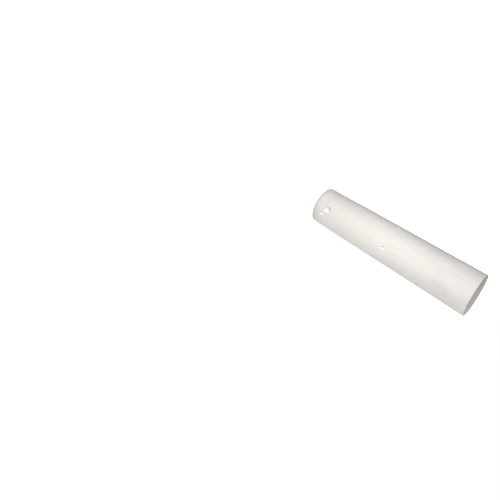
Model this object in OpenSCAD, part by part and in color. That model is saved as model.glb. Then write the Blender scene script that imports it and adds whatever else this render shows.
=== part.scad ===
// Jumbo pavement chalk: one solid stick of cast gypsum, tapered so that it slips out of
// its mould. It stands on the narrow end that the mould's floor made. The wide end is the
// mould's open mouth, where the wet plaster was struck off by hand, a little out of square,
// and its middle sank slightly as it set. Bubbles of air that clung to the mould's wall left
// round pits in the side.
//
// Frame: the origin is the middle of the narrow end's face, and +Z runs along the axis to
// the wide end. An angle called a side is measured about +Z from +X, so the front is -90.
// All sizes are in millimetres.

/* [Stick] */
// Length along the axis, from the narrow end's face to the middle of the wide end's face
stick_length = 102; // [80:1:130]
// Diameter of the wide end, at the middle of its face
wide_diameter = 25.2; // [20:0.1:32]
// Diameter of the narrow end, where its sharp corner would be
narrow_diameter = 21.7; // [16:0.1:28]
// Radius that is worn on the narrow end's rim
narrow_rim_radius = 0.5; // [0.2:0.1:2]

/* [Struck-off end] */
// Angle by which the wide end's face leans out of square with the axis
end_slant = 2.4; // [0:0.1:6]
// Side on which the wide end's face is highest
end_high_side = -24; // [-180:1:180]
// Depth to which the middle of the wide end's face sank as the plaster set
face_dish = 0.4; // [0.1:0.1:1.2]
// Width of the flat rim that is left round the sunken middle
face_rim = 0.6; // [0.4:0.1:3]

/* [Large air pit] */
// Height of the pit's middle above the narrow end
large_pit_height = 8.5; // [4:0.1:40]
// Side that the pit is on
large_pit_side = -82; // [-180:1:180]
// Width of the pit's mouth
large_pit_width = 4.5; // [1:0.1:6]

/* [Air pit beside the large one] */
// Height of the pit's middle above the narrow end
near_pit_height = 5.6; // [3:0.1:40]
// Side that the pit is on
near_pit_side = -61; // [-180:1:180]
// Width of the pit's mouth
near_pit_width = 2.7; // [0.8:0.1:4]

/* [Air pit at half length] */
// Height of the pit's middle above the narrow end
middle_pit_height = 48.9; // [20:0.1:70]
// Side that the pit is on
middle_pit_side = -71; // [-180:1:180]
// Width of the pit's mouth
middle_pit_width = 2.3; // [0.8:0.1:4]

/* [Two small air pits] */
// Height of the lower pit's middle above the narrow end
low_speck_height = 38.4; // [20:0.1:70]
// Side that the lower pit is on
low_speck_side = -130; // [-180:1:180]
// Width of the lower pit's mouth
low_speck_width = 1.2; // [0.6:0.1:3]
// Height of the upper pit's middle above the narrow end
high_speck_height = 49.4; // [20:0.1:70]
// Side that the upper pit is on
high_speck_side = -150; // [-180:1:180]
// Width of the upper pit's mouth
high_speck_width = 1.4; // [0.6:0.1:3]

/* [All air pits] */
// Depth of an air pit as a share of its mouth's width
pit_depth_share = 0.38; // [0.15:0.01:0.48]

/* [Hidden] */

wide_r = wide_diameter / 2;
narrow_r = narrow_diameter / 2;
// How much the radius grows for each millimetre of height, and the angle that makes
taper = (wide_r - narrow_r) / stick_length;
taper_angle = atan(taper);

// The body is turned up to here, past the highest point of the slanted face
trim_room = 2;
body_top = stick_length + 2 * wide_r * tan(end_slant) + trim_room;

// The worn rim is an arc about this radius, at a height of its own radius
rim_centre_r = side_r(narrow_rim_radius) - narrow_rim_radius / cos(taper_angle);

// The sunken middle of the wide end's face is the cap of a ball of this radius
dish_ball_r = ball_r(wide_diameter - 2 * face_rim, face_dish);

// Each air pit: height of its middle, the side it is on, width of its mouth
AIR_PITS = [
    [large_pit_height, large_pit_side, large_pit_width],
    [near_pit_height, near_pit_side, near_pit_width],
    [middle_pit_height, middle_pit_side, middle_pit_width],
    [low_speck_height, low_speck_side, low_speck_width],
    [high_speck_height, high_speck_side, high_speck_width]
];

$fn = 96;

// Radius of the stick's side at a height
function side_r(height) = narrow_r + taper * height;

// Radius of the ball whose cap has this width and this depth
function ball_r(width, depth) = (pow(width / 2, 2) + pow(depth, 2)) / (2 * depth);

// Half of the stick's section: straight tapered side, worn rim, flat narrow end
module half_section() {
    polygon([
        [0, 0],
        [rim_centre_r, 0],
        [rim_centre_r + narrow_rim_radius * cos(taper_angle),
            narrow_rim_radius * (1 - sin(taper_angle))],
        [side_r(body_top), body_top],
        [0, body_top]
    ]);
    translate([rim_centre_r, narrow_rim_radius])
        circle(r = narrow_rim_radius);
}

// Puts what follows on the slanted plane of the wide end's face
module on_wide_face() {
    translate([0, 0, stick_length])
        rotate([0, 0, end_high_side])
            rotate([0, -end_slant, 0])
                children();
}

// What is struck off the mould's mouth: everything above the slanted face
module struck_off() {
    across = 4 * wide_r;
    on_wide_face()
        translate([-across / 2, -across / 2, 0])
            cube([across, across, body_top]);
}

// What the setting plaster drew down: a shallow cap in the middle of the face
module sunken_middle() {
    on_wide_face()
        translate([0, 0, dish_ball_r - face_dish])
            sphere(r = dish_ball_r);
}

// The round hollow that an air bubble leaves: a ball that dips below the side
module air_pit(height, side, width) {
    depth = pit_depth_share * width;
    ball = ball_r(width, depth);
    rotate([0, 0, side])
        translate([side_r(height) + ball - depth, 0, height])
            sphere(r = ball);
}

module chalk_stick() {
    color([0.95, 0.94, 0.92])
        difference() {
            rotate_extrude()
                half_section();
            struck_off();
            sunken_middle();
            for (pit = AIR_PITS)
                air_pit(pit[0], pit[1], pit[2]);
        }
}

chalk_stick();
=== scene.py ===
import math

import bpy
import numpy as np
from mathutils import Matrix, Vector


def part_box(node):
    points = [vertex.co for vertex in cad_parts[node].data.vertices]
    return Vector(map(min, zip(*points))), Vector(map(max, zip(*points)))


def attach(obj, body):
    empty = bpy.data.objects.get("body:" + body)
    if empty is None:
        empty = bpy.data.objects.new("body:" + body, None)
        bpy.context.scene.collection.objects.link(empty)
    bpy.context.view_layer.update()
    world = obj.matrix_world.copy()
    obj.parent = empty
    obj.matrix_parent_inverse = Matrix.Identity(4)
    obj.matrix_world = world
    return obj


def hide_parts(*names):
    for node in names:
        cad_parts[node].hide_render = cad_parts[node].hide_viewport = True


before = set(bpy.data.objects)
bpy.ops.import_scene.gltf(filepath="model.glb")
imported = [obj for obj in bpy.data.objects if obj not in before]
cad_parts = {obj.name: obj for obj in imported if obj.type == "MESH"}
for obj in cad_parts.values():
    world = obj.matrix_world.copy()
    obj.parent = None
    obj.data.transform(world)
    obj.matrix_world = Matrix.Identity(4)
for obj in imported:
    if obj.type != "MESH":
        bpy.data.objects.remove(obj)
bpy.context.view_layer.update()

# Jumbo pavement chalk: one tapered stick of cast gypsum, standing on its narrow end.
#
# The stick's length and width come from the frame, and its finer sizes repeat the plain
# model's. Its skin is one closed surface worked out ring by ring: flat narrow end, worn
# rim, straight tapered side with the hollows that air bubbles left, a crisp edge and the
# shallow dish of the face that was struck off level with the mould's mouth. Lengths on
# the stick are in millimetres, and its mesh is in metres. Heights are above the narrow
# end, and sides are angles about +Z from +X, so that the front is at -90 degrees.

MM = 0.001
MICROMETRE_IN_MM = 0.001

# ---------------------------------------------------------------- the stick's sizes, in mm

STICK_LOW, STICK_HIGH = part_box("chalk_stick")

# How far the struck-off face leans out of square, the side on which it is highest, and the
# share of the length, below the face, over which the side takes up the slant
END_SLANT = math.radians(2.4)
END_HIGH_SIDE = math.radians(-24)
SLANT_FADE = 0.25

WIDE_RADIUS = (STICK_HIGH.x - STICK_LOW.x) / 2 / MM
STICK_LENGTH = STICK_HIGH.z / MM - WIDE_RADIUS * math.tan(END_SLANT)
NARROW_RADIUS = 10.85

# Radii that the narrow end's rim is worn to and that the wide end's edge keeps
NARROW_RIM = 0.5
WIDE_EDGE = 0.15

# Growth of the radius for each millimetre of height, and the angle that makes
TAPER = (WIDE_RADIUS - NARROW_RADIUS) / STICK_LENGTH
TAPER_ANGLE = math.atan(TAPER)

# How far the struck-off face sank in its middle as the plaster set, and the width of the
# flat rim that was left round it
FACE_DISH = 0.4
FACE_RIM = 0.6

# Hollows of air bubbles: height, side in degrees, and width of the mouth. The second and
# the third lie a fraction of a millimetre off the plain model's, where they look right.
AIR_PITS = {
    "large": (8.5, -82, 4.5),
    "beside the large one": (6.2, -63.3, 2.5),
    "at half length": (49.2, -71, 2.1),
    "low speck": (38.4, -130, 1.2),
    "high speck": (49.4, -150, 1.4),
}
# Their depth as a share of the mouth's width
PIT_DEPTH_SHARE = 0.38

# Pinholes that barely broke the skin, in the same terms
PINHOLES = {
    "ring": (83.4, -96, 0.9),
    "in the smudge": (85.6, -63.7, 0.8),
    "above half length": (73.9, -74.1, 0.8),
    "below half length": (47.5, -44.4, 0.8),
    "near the wide end": (95.8, -50.8, 0.8),
}
PINHOLE_DEPTH_SHARE = 0.22

# Marks on the skin: height, side, half length, half width, and how dark (+) or light (-)
MARKS = {
    "finger mark": (84.5, -66, 3.2, 2.2, 0.10),
    "second finger mark": (89.5, -60, 2.0, 2.0, 0.07),
    # A darker patch low by the narrow end, on one side
    "darker patch by the narrow end": (1.0, -40, 4.0, 8.0, 0.2),
    # Painted highlight on the lit walls of the hollows and specks, and painted shade by the
    # second hollow
    "painted highlight in the large hollow": (7.9, -76.5, 1.3, 1.4, -0.6),
    "painted highlight in the second hollow": (6.0, -62.7, 0.6, 0.6, -1.1),
    "painted shade by the second hollow": (6.2, -68.4, 0.7, 0.4, 0.9),
    "painted highlight in the middle hollow": (49.6, -73, 0.6, 0.6, -0.1),
    "painted highlight in the low speck": (38.4, -130, 0.6, 0.6, -0.15),
    "painted highlight in the high speck": (49.4, -150, 0.8, 0.8, -0.9),
    "dust": (82.5, -118, 3.0, 1.4, -0.5),
    "dust low on the side": (61.0, -56, 2.0, 1.5, -0.3),
    # A lighter strip near the wide end
    "lighter strip near the wide end": (94.0, -152, 8.0, 3.5, -0.8),
}

# Painted shade, a dark crescent on the wall of each hollow: the way round from +Z towards
# the left, how far out it lies from the middle (0) to the lip (1), and how wide and dark it is
PAINTED_WALL_SHADE_TURN = math.radians(50)
PAINTED_WALL_SHADE_PLACE = 0.5
PAINTED_WALL_SHADE_WIDTH = 0.24
PAINTED_WALL_SHADE = 0.85

# Painted shade: a grey band round the narrow rim, standing in for the rim's shade: its
# height, how far it reaches in over the face, how dark it is, the side on which it is
# darkest, and by what share it is darker there and paler opposite
PAINTED_RIM_SHADE_HEIGHT = 0.4
PAINTED_RIM_SHADE_INWARD = 1.2
PAINTED_RIM_SHADE = 0.9
PAINTED_RIM_SHADE_SIDE = math.radians(-60)
PAINTED_RIM_SHADE_UNEVEN = 0.35

# The way across the wide face towards which it darkens as painted shade, as X and Y
FACE_SHADE_TOWARDS = (-0.75, -0.66)

# Unevenness of the mould's wall, as waves: how many go round the stick, their radians for
# each millimetre of height, their phase, and their size in micrometres
MOULD_WAVES = [(2, 0.11, 0.4, 7), (3, 0.23, 1.9, 5), (5, 0.37, 4.1, 4), (9, 0.61, 2.6, 2)]

# Keeps a division from meeting a zero
NEARLY_NONE = 1e-9

# Edges sharper than this stay crisp: the lips of the hollows
CRISP = math.radians(35)

# ---------------------------------------------------------------- the grid

# Columns lie closer together round the side that has the hollows: how far round from it,
# in radians, and by how much more
COLUMNS = 352
FRONT = math.radians(-85)
FRONT_REACH = 1.0
FRONT_CROWDING = 1.6

# Rings lie closer together at each hollow: how far up and down from its middle, as a share
# of its mouth's width, and by how much more
SIDE_RINGS = 214
HOLLOW_REACH = 0.62
HOLLOW_CROWDING = 8.0

# Steps in which the crowding is summed up
CROWDING_STEPS = 4000

NARROW_FACE_RINGS = 12
RIM_RINGS = 8
EDGE_RINGS = 4
WIDE_FACE_RINGS = 30

# ---------------------------------------------------------------- light and camera

# The studio's white paper: its colour, and how far the eye sees it lifted towards white,
# close to the stick, where it keeps the shadow, and from a distance in metres on
PAPER = "#EDEDED"
LIFT_BY_THE_STICK = 0.55
FULL_LIFT = 1.0
FULL_LIFT_FROM = 0.35
# Half the width of the paper, in metres
FLOOR_REACH = 1.5

# Height of the stick's middle, in metres
MIDDLE_HEIGHT = STICK_LENGTH / 2 * MM

# Round soft lamps: turn and rise in degrees and reach in metres, as round_the_stick takes
# them, then the height of the point that the lamp faces and its width, in metres, its watts,
# and its spread in degrees. The key is small and just above the camera, the fill is on the
# right, and the third lamp is behind.
LAMPS = {
    "key": (-4, 19, 0.45, 0.04, 0.03, 0.212, 70),
    "right fill": (122, 8, 0.83, MIDDLE_HEIGHT, 0.5, 3.1, 180),
    "back light": (180, 20, 0.9, MIDDLE_HEIGHT, 0.4, 4.2, 180),
}
SKY_STRENGTH = 0.058

# Where the camera stands and the point that it faces, in metres
CAMERA_PLACE = Vector((-0.00069, -0.30706, 0.14218))
CAMERA_AIM = Vector((0.04945, 0.0, -0.02819))
# Points to the top of the picture, so that the stick lies across it
CAMERA_UP = Vector((-0.84984, -0.14273, -0.50734))
# Focal length and width of the sensor, in millimetres
CAMERA_LENS = 39.21
CAMERA_SENSOR = 36.0


def linear(hex_code):
    """An sRGB colour such as #F0EFEA as linear red, green, blue and alpha."""
    values = [int(hex_code[i:i + 2], 16) / 255 for i in (1, 3, 5)]
    bent = [v / 12.92 if v <= 0.04045 else ((v + 0.055) / 1.055) ** 2.4 for v in values]
    return (*bent, 1.0)


def node(tree, kind, inputs=None, **settings):
    """Adds one shader node: its settings, then a value or a link for each named socket."""
    made = tree.nodes.new(kind)
    for name, value in settings.items():
        setattr(made, name, value)
    for socket, value in (inputs or {}).items():
        if isinstance(value, bpy.types.NodeSocket):
            tree.links.new(value, made.inputs[socket])
        else:
            made.inputs[socket].default_value = value
    return made


# ---------------------------------------------------------------- the stick's skin

def side_radius(height):
    """Radius of the side: it grows evenly from the narrow end to the wide one."""
    return NARROW_RADIUS + TAPER * height


def crowded(low, high, count, places, extra):
    """Count values from low to high that lie closer together round the given places.

    The density is 1, plus extra times a flat-topped bell of half width reach at each
    place. Its running sum is turned round, so that equal steps of the sum give the values.
    """
    fine = np.linspace(low, high, CROWDING_STEPS)
    density = np.ones_like(fine)
    for place, reach in places:
        density += extra * np.exp(-((fine - place) / reach) ** 4)
    total = np.concatenate([[0], np.cumsum((density[1:] + density[:-1]) / 2)])
    return np.interp(np.linspace(0, total[-1], count), total, fine)


def unrolled(side, height, at_height, at_side):
    """How far points of the skin lie from a place on it: round the stick and along it.

    The turn between the sides, brought to under half a turn either way, times the radius
    is the way round.
    """
    turn = (side - math.radians(at_side) + math.pi) % (2 * math.pi) - math.pi
    return side_radius(height) * turn, height - at_height


def hollowed(points, inside, marks_and_painted_light, pit, depth_share):
    """Moves the skin inside one bubble's mouth onto the bubble's own ball.

    With the mouth's half width m and the depth D, the ball's radius is
    R = (m^2 + D^2) / 2D, and its middle B lies R - D outside the skin. A point P of the
    skin is s away from the line through B and the stick's axis, and o away from B along
    it. Then t = s / sqrt(R^2 - o^2) runs from 0 in the middle of the mouth to 1 where the
    skin meets the ball. P goes to an angle from the ball's bottom that is t times the
    lip's angle, with a share t^4 of P's own angle in it, so that the lip stays where it
    was. For the finish, 1 - t is kept as how far inside a point is, and a bell of t times
    the cubed cosine of the way round the mouth adds painted shade on the wall.
    """
    at_height, at_side, width = pit
    depth = depth_share * width
    ball = ((width / 2) ** 2 + depth ** 2) / (2 * depth)
    turn = math.radians(at_side)
    out = np.array([math.cos(turn), math.sin(turn), 0])
    middle = (side_radius(at_height) + ball - depth) * out + np.array([0, 0, at_height])

    from_middle = points - middle
    outward = from_middle @ out
    sideways = from_middle - outward[..., None] * out
    reach = np.maximum(np.linalg.norm(sideways, axis=-1), NEARLY_NONE)
    within = (from_middle ** 2).sum(axis=-1) < ball ** 2
    t = np.minimum(reach / np.sqrt(np.maximum(ball ** 2 - outward ** 2, NEARLY_NONE)), 1)
    own_angle = np.arctan2(reach, -outward)
    lip_angle = math.acos(1 - depth / ball)
    angle = (1 - t ** 4) * t * lip_angle + t ** 4 * own_angle
    on_ball = (middle + ball * np.sin(angle)[..., None] * sideways / reach[..., None]
               - ball * np.cos(angle)[..., None] * out)

    # Painted shade: a dark crescent on the hollow's wall
    painted_shade_way = np.array([math.sin(turn) * math.sin(PAINTED_WALL_SHADE_TURN),
                         -math.cos(turn) * math.sin(PAINTED_WALL_SHADE_TURN), math.cos(PAINTED_WALL_SHADE_TURN)])
    painted_shade = (np.exp(-((t - PAINTED_WALL_SHADE_PLACE) / PAINTED_WALL_SHADE_WIDTH) ** 2)
            * np.maximum(sideways @ painted_shade_way / reach, 0) ** 3)
    marks_and_painted_light = marks_and_painted_light + np.where(within, PAINTED_WALL_SHADE * painted_shade, 0)
    return np.where(within[..., None], on_ball, points), np.where(within, 1 - t, inside), marks_and_painted_light


def skin_relief(side, height):
    """Slow unevenness of the mould's wall, under 0.02 mm: a sum of sines of side and height.

    A whole number of waves goes round the stick, so that they close.
    """
    relief = np.zeros_like(side + height)
    for turns, rise, phase, size in MOULD_WAVES:
        relief += size * MICROMETRE_IN_MM * np.sin(turns * side + rise * height + phase)
    return relief


def marks_on_skin(side, height):
    """Sum of soft ovals: positive where the skin is soiled or shade is painted, and
    negative where it is dusty or a highlight is painted.

    Each is its darkness times exp(-(along / half length)^2 - (around / half width)^2).
    """
    field = np.zeros_like(side + height)
    for at_height, at_side, half_length, half_width, dark in MARKS.values():
        around, along = unrolled(side, height, at_height, at_side)
        field += dark * np.exp(-(along / half_length) ** 2 - (around / half_width) ** 2)
    return field


def section():
    """The rings from the middle of the narrow face to the middle of the wide one.

    Each ring has a radius, a height and a share of the side's finish. The worn rim is an
    arc tangent to the face and to the side, and the wide edge is one too. Between them the
    radius grows evenly with the height, and the rings lie closer together at the hollows.
    At a radius r the dish, of radius R, lies FACE_DISH (1 - (r / R)^2) below the face's
    flat rim.
    """
    hollows = [(at_height, HOLLOW_REACH * width)
               for at_height, _, width in [*AIR_PITS.values(), *PINHOLES.values()]]
    rim_middle = side_radius(NARROW_RIM) - NARROW_RIM / math.cos(TAPER_ANGLE)
    edge_height = STICK_LENGTH - WIDE_EDGE
    edge_middle = side_radius(edge_height) - WIDE_EDGE / math.cos(TAPER_ANGLE)
    dish_radius = WIDE_RADIUS - FACE_RIM

    face_out = np.linspace(0, 1, NARROW_FACE_RINGS + 1)[1:] * rim_middle
    rim = np.linspace(-math.pi / 2, -TAPER_ANGLE, RIM_RINGS + 1)[1:]
    low = NARROW_RIM * (1 + math.sin(rim[-1]))
    high = edge_height - WIDE_EDGE * math.sin(TAPER_ANGLE)
    up = crowded(low, high, SIDE_RINGS + 2, hollows, HOLLOW_CROWDING)[1:]
    edge = np.linspace(-TAPER_ANGLE, math.pi / 2, EDGE_RINGS + 1)[1:]
    face_in = np.linspace(1, 0, WIDE_FACE_RINGS + 1)[1:-1] * edge_middle

    radius = np.concatenate([
        face_out,
        rim_middle + NARROW_RIM * np.cos(rim),
        side_radius(up),
        edge_middle + WIDE_EDGE * np.cos(edge),
        face_in,
    ])
    height = np.concatenate([
        np.zeros(NARROW_FACE_RINGS),
        NARROW_RIM * (1 + np.sin(rim)),
        up,
        edge_height + WIDE_EDGE * np.sin(edge),
        STICK_LENGTH - FACE_DISH * np.maximum(1 - (face_in / dish_radius) ** 2, 0),
    ])
    on_side = np.concatenate([
        np.zeros(NARROW_FACE_RINGS),
        np.linspace(0, 1, RIM_RINGS),
        np.ones(len(up)),
        np.linspace(1, 0, EDGE_RINGS),
        np.zeros(len(face_in)),
    ])
    return radius, height, on_side


def skin_points():
    """Every point of the skin but the two poles, how far inside a pit it is, and its marks.

    A point is its ring's radius and height turned to its column's side. The wide end's
    slant lifts a point by its distance towards the high side times the slant's tangent, in
    full on the face and fading to nothing a quarter of the way down the side, as
    f^2 (3 - 2 f) of the way f up that quarter. The mould's unevenness is taken from the
    radius, and the bubbles are then hollowed out.
    """
    radius, height, on_side = section()
    side = crowded(FRONT - math.pi, FRONT + math.pi, COLUMNS + 1,
                   [(FRONT, FRONT_REACH)], FRONT_CROWDING)[:-1]
    side, radius = np.meshgrid(side, radius)
    height = np.broadcast_to(height[:, None], side.shape)
    on_side = np.broadcast_to(on_side[:, None], side.shape)

    fade = np.clip((height / STICK_LENGTH - (1 - SLANT_FADE)) / SLANT_FADE, 0, 1)
    fade = fade * fade * (3 - 2 * fade)
    lift = math.tan(END_SLANT) * radius * np.cos(side - END_HIGH_SIDE) * fade
    radius = radius + TAPER * lift * on_side
    height = height + lift

    marks_and_painted_light = marks_on_skin(side, height) * on_side
    inward = np.maximum(NARROW_RADIUS - NARROW_RIM - radius, 0)
    # Painted shade: a grey band round the narrow rim
    rim_shade = PAINTED_RIM_SHADE * np.exp(-(height / PAINTED_RIM_SHADE_HEIGHT) ** 2 - (inward / PAINTED_RIM_SHADE_INWARD) ** 2)
    marks_and_painted_light += rim_shade * (1 + PAINTED_RIM_SHADE_UNEVEN * np.cos(side - PAINTED_RIM_SHADE_SIDE))
    radius = radius - on_side * skin_relief(side, height)
    points = np.stack([radius * np.cos(side), radius * np.sin(side), height], axis=-1)
    inside = np.zeros_like(side)
    for pit in AIR_PITS.values():
        points, inside, marks_and_painted_light = hollowed(points, inside, marks_and_painted_light, pit, PIT_DEPTH_SHARE)
    for pit in PINHOLES.values():
        points, inside, marks_and_painted_light = hollowed(points, inside, marks_and_painted_light, pit, PINHOLE_DEPTH_SHARE)
    return points, inside, marks_and_painted_light


def ring_faces(rings, columns):
    """Quads between rings and triangles to the poles, all facing outwards.

    The first pole is point 0, the rings follow one after another, and the last pole is
    the last point.
    """
    here = 1 + np.arange((rings - 1) * columns).reshape(rings - 1, columns)
    beside = np.roll(here, -1, axis=1)
    quads = np.stack([here, beside, beside + columns, here + columns], axis=-1).reshape(-1, 4)
    first = 1 + np.arange(columns)
    last = first + (rings - 1) * columns
    low_pole = np.stack([np.zeros(columns, int), np.roll(first, -1), first], axis=-1)
    high_pole = np.stack(
        [np.full(columns, rings * columns + 1), last, np.roll(last, -1)], axis=-1)
    return low_pole, quads, high_pole


def point_values(mesh, name, values):
    """Stores one number per point, for the materials to read."""
    mesh.attributes.new(name, "FLOAT", "POINT").data.foreach_set("value", values)


def chalk_stick(skin, struck_face):
    """The stick: the closed skin, with its own finish on the struck-off face."""
    points, inside, marks_and_painted_light = skin_points()
    rings, columns = inside.shape
    poles = np.array([[0, 0, 0], [0, 0, STICK_LENGTH - FACE_DISH]], float)
    all_points = np.concatenate([poles[:1], points.reshape(-1, 3), poles[1:]]) * MM
    low_pole, quads, high_pole = ring_faces(rings, columns)

    mesh = bpy.data.meshes.new("chalk_stick_cast")
    faces = [*low_pole.tolist(), *quads.tolist(), *high_pole.tolist()]
    mesh.from_pydata(all_points.tolist(), [], faces)
    mesh.shade_smooth()
    mesh.set_sharp_from_angle(angle=CRISP)
    point_values(mesh, "inside a pit", np.pad(inside.ravel(), 1))
    # Dust, dirt, painted shade and painted highlight, one number a point
    point_values(mesh, "marks_and_painted_light", np.pad(marks_and_painted_light.ravel(), 1))

    mesh.materials.append(skin)
    mesh.materials.append(struck_face)
    # The struck-off face is the last rows of quads and the triangles at its middle
    finish = np.zeros(len(faces), int)
    finish[-columns * WIDE_FACE_RINGS:] = 1
    mesh.polygons.foreach_set("material_index", finish)

    stick = bpy.data.objects.new("chalk_stick_cast", mesh)
    bpy.context.collection.objects.link(stick)
    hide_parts("chalk_stick")
    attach(stick, "root")
    return stick


# ---------------------------------------------------------------- finishes

def per_mm(size):
    """Scale of a texture on Object coordinates whose pattern repeats in size millimetres."""
    return 1 / (size * MM)


def new_material(name):
    """An empty material: its tree, its Principled shader and its Object coordinates."""
    material = bpy.data.materials.new(name)
    material.use_nodes = True
    tree = material.node_tree
    tree.nodes.clear()
    shader = node(tree, "ShaderNodeBsdfPrincipled")
    node(tree, "ShaderNodeOutputMaterial", {"Surface": shader.outputs["BSDF"]})
    place = node(tree, "ShaderNodeTexCoord").outputs["Object"]
    return material, tree, shader, place


def share_of(tree, value, low, high, most):
    """A value's way from low to high, as a share from 0 to most."""
    return node(tree, "ShaderNodeMapRange",
                {"Value": value, "From Min": low, "From Max": high, "To Max": most}).outputs[0]


def mixed(tree, share, first, second):
    """The first colour, with a share of the second one in it."""
    return node(tree, "ShaderNodeMix", {"Factor": share, "A": first, "B": second},
                data_type="RGBA").outputs["Result"]


def moulded_gypsum():
    """Gypsum cast against a smooth mould wall: warm white, faintly satin, finely grained.

    The wall leaves the skin closed and smooth, so a lamp gives it a broad soft sheen, and
    drawing the stick out of the mould leaves streaks along it. The inside of a bubble was
    never touched by the wall and is a cleaner white.
    """
    material, tree, shader, place = new_material("cast gypsum, moulded skin")
    # Clouds of tone, 14 mm across, where the plaster was mixed unevenly
    cloud = node(tree, "ShaderNodeTexNoise",
                 {"Vector": place, "Scale": per_mm(14), "Detail": 3.0})
    tone = mixed(tree, cloud.outputs["Fac"], linear("#F1EEE8"), linear("#FBF8F3"))
    # Streaks 1.8 mm wide, drawn out 25 times as long up the stick
    drawn_out = node(tree, "ShaderNodeMapping", {"Vector": place, "Scale": (1, 1, 0.04)})
    streak = node(tree, "ShaderNodeTexNoise",
                  {"Vector": drawn_out.outputs[0], "Scale": per_mm(1.8), "Detail": 2.0})
    streaked = mixed(tree, share_of(tree, streak.outputs["Fac"], low=0.5, high=0.8, most=0.35),
                     tone, linear("#E9E6E0"))
    # The real grain is about 0.1 mm, drawn at 1 mm so that it shows
    speckle = node(tree, "ShaderNodeTexNoise",
                   {"Vector": place, "Scale": per_mm(1.0), "Detail": 2.0, "Roughness": 0.7})
    grained = mixed(tree, share_of(tree, speckle.outputs["Fac"], low=0.45, high=0.75, most=0.3),
                    streaked, linear("#E4DFD8"))

    # Cleaner in bubbles, whiter under dust or painted highlight, greyer under dirt or painted
    # shade
    inside = node(tree, "ShaderNodeAttribute", attribute_name="inside a pit")
    clean = mixed(tree, share_of(tree, inside.outputs["Fac"], low=0.3, high=0.7, most=1.0),
                  grained, linear("#F6F3EE"))
    marks_and_painted_light = node(tree, "ShaderNodeAttribute", attribute_name="marks_and_painted_light")
    # Dust and painted highlight lighten (-), dirt and painted shade darken (+)
    dusted_and_lit = mixed(tree, share_of(tree, marks_and_painted_light.outputs["Fac"], low=0.0, high=-1.0, most=1.0),
                   clean, linear("#FFFDFA"))
    soiled_and_shaded = mixed(tree, share_of(tree, marks_and_painted_light.outputs["Fac"], low=0.0, high=1.0, most=1.0),
                   dusted_and_lit, linear("#8F8880"))
    tree.links.new(soiled_and_shaded, shader.inputs["Base Color"])
    # The index is gypsum's, and its pores swallow most of the gloss
    shader.inputs["Roughness"].default_value = 0.58
    shader.inputs["IOR"].default_value = 1.52
    shader.inputs["Specular IOR Level"].default_value = 0.08

    rough = node(tree, "ShaderNodeBump",
                 {"Height": speckle.outputs["Fac"], "Distance": 0.03 * MM, "Strength": 0.5})
    tree.links.new(rough.outputs["Normal"], shader.inputs["Normal"])
    return material


def struck_gypsum():
    """Gypsum struck off while wet: open grain, no sheen, greyer and warmer than the skin.

    Towards one side the face grows greyer: painted shade.
    """
    material, tree, shader, place = new_material("cast gypsum, struck off")
    # Clouds of tone, 3.5 mm across, that the scraper smeared
    cloud = node(tree, "ShaderNodeTexNoise",
                 {"Vector": place, "Scale": per_mm(3.5), "Detail": 5.0})
    tone = mixed(tree, cloud.outputs["Fac"], linear("#F1E7DA"), linear("#FCF4E9"))
    # Painted shade: the face darkens evenly towards one side
    way = node(tree, "ShaderNodeVectorMath", {0: place, 1: (*FACE_SHADE_TOWARDS, 0)},
               operation="DOT_PRODUCT")
    face_painted_shade = mixed(tree, share_of(tree, way.outputs["Value"], low=-WIDE_RADIUS * MM,
                                   high=WIDE_RADIUS * MM, most=1.0),
                    tone, linear("#BDB1A5"))
    tree.links.new(face_painted_shade, shader.inputs["Base Color"])
    # As on the skin, and rough where the scraper tore the surface open
    shader.inputs["Roughness"].default_value = 0.85
    shader.inputs["IOR"].default_value = 1.52
    shader.inputs["Specular IOR Level"].default_value = 0.08

    # The real pores are 0.1 to 0.5 mm wide, drawn from 0.7 mm down so that they show
    grain = node(tree, "ShaderNodeTexNoise",
                 {"Vector": place, "Scale": per_mm(0.7), "Detail": 6.0, "Roughness": 0.65})
    rough = node(tree, "ShaderNodeBump",
                 {"Height": grain.outputs["Fac"], "Distance": 0.08 * MM, "Strength": 0.8})
    tree.links.new(rough.outputs["Normal"], shader.inputs["Normal"])
    return material


# ---------------------------------------------------------------- studio

def white_to_eye(tree):
    """1 for a ray from the camera, a gloss or a glass, and 0 for one that carries light."""
    path = node(tree, "ShaderNodeLightPath")
    seen = node(tree, "ShaderNodeMath",
                {0: path.outputs["Is Camera Ray"], 1: path.outputs["Is Glossy Ray"]},
                operation="MAXIMUM")
    return node(tree, "ShaderNodeMath",
                {0: seen.outputs[0], 1: path.outputs["Is Transmission Ray"]},
                operation="MAXIMUM").outputs[0]


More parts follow.
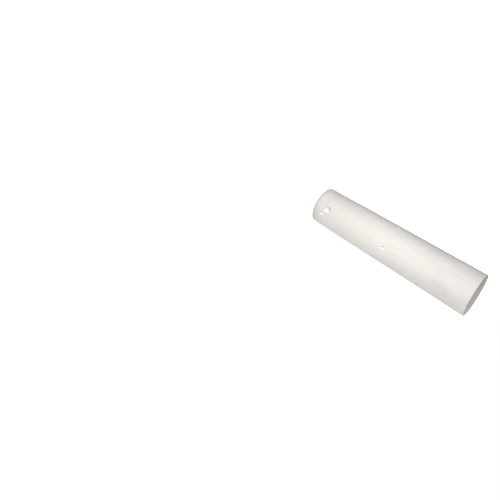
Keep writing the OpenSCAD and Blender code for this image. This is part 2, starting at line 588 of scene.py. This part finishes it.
def paper_floor():
    """A sheet of white paper: pale to the light, lifted to white for the eye.

    The lift is less close to the stick, so that the stick's shadow stays.
    """
    material = bpy.data.materials.new("white paper")
    material.use_nodes = True
    tree = material.node_tree
    tree.nodes.clear()
    paper = node(tree, "ShaderNodeBsdfDiffuse", {"Color": linear(PAPER)})
    place = node(tree, "ShaderNodeTexCoord").outputs["Object"]
    away = node(tree, "ShaderNodeVectorMath", {0: place}, operation="LENGTH")
    white = node(tree, "ShaderNodeMapRange",
                 {"Value": away.outputs["Value"], "From Min": WIDE_RADIUS * MM,
                  "From Max": FULL_LIFT_FROM, "To Min": LIFT_BY_THE_STICK,
                  "To Max": FULL_LIFT})
    lift = node(tree, "ShaderNodeMath", {0: white_to_eye(tree), 1: white.outputs[0]},
                operation="MULTIPLY")
    glow = node(tree, "ShaderNodeEmission",
                {"Color": linear("#FFFFFF"), "Strength": lift.outputs[0]})
    both = node(tree, "ShaderNodeAddShader")
    tree.links.new(paper.outputs[0], both.inputs[0])
    tree.links.new(glow.outputs[0], both.inputs[1])
    node(tree, "ShaderNodeOutputMaterial", {"Surface": both.outputs[0]})

    mesh = bpy.data.meshes.new("floor")
    corners = [(x * FLOOR_REACH, y * FLOOR_REACH, 0)
               for x, y in ((-1, -1), (1, -1), (1, 1), (-1, 1))]
    mesh.from_pydata(corners, [], [(0, 1, 2, 3)])
    mesh.materials.append(material)
    floor = bpy.data.objects.new("floor", mesh)
    bpy.context.collection.objects.link(floor)


def studio_sky():
    """An even pale room: white to the eye, and dimmer as a light."""
    world = bpy.data.worlds.new("studio")
    world.use_nodes = True
    tree = world.node_tree
    tree.nodes.clear()
    room = node(tree, "ShaderNodeBackground",
                {"Color": linear("#FFFFFF"), "Strength": SKY_STRENGTH})
    white = node(tree, "ShaderNodeBackground", {"Color": linear("#FFFFFF"), "Strength": 1.0})
    either = node(tree, "ShaderNodeMixShader", {0: white_to_eye(tree)})
    tree.links.new(room.outputs[0], either.inputs[1])
    tree.links.new(white.outputs[0], either.inputs[2])
    node(tree, "ShaderNodeOutputWorld", {"Surface": either.outputs[0]})
    bpy.context.scene.world = world


def softbox(name, place, aim, size, watts, spread):
    """A round soft lamp that faces a point and that the camera doesn't see.

    A spread under 180 degrees, as from a grid on the lamp, dims the light off its axis.
    """
    lamp = bpy.data.lights.new(name, "AREA")
    lamp.shape = "DISK"
    lamp.size = size
    lamp.energy = watts
    lamp.spread = math.radians(spread)
    box = bpy.data.objects.new(name, lamp)
    box.matrix_world = (Matrix.Translation(place)
                        @ (aim - place).to_track_quat("-Z", "Y").to_matrix().to_4x4())
    box.visible_camera = False
    bpy.context.collection.objects.link(box)


def round_the_stick(turn, rise, reach):
    """A place at a reach from the stick's middle.

    Turn goes from straight in front, -Y, towards +X, and rise goes up, both in degrees.
    """
    turn, rise = math.radians(turn), math.radians(rise)
    flat = reach * math.cos(rise)
    return Vector((flat * math.sin(turn), -flat * math.cos(turn),
                   MIDDLE_HEIGHT + reach * math.sin(rise)))


def studio_lamps():
    """The three soft lamps, each facing a point on the stick's axis."""
    for name, (turn, rise, reach, aim_height, size, watts, spread) in LAMPS.items():
        aim = Vector((0, 0, aim_height))
        softbox(name, round_the_stick(turn, rise, reach), aim, size, watts, spread)


def studio_camera():
    """The camera, turned about its own line of sight so that the stick lies across the frame."""
    data = bpy.data.cameras.new("camera")
    data.sensor_width = CAMERA_SENSOR
    data.lens = CAMERA_LENS
    camera = bpy.data.objects.new("camera", data)
    forward = (CAMERA_AIM - CAMERA_PLACE).normalized()
    right = forward.cross(CAMERA_UP).normalized()
    up = right.cross(forward)
    turn = Matrix((right, up, -forward)).transposed()
    camera.matrix_world = Matrix.Translation(CAMERA_PLACE) @ turn.to_4x4()
    bpy.context.collection.objects.link(camera)
    bpy.context.scene.camera = camera


studio_camera()
studio_sky()
studio_lamps()
paper_floor()
chalk_stick(moulded_gypsum(), struck_gypsum())
bpy.context.scene.view_settings.view_transform = "Standard"
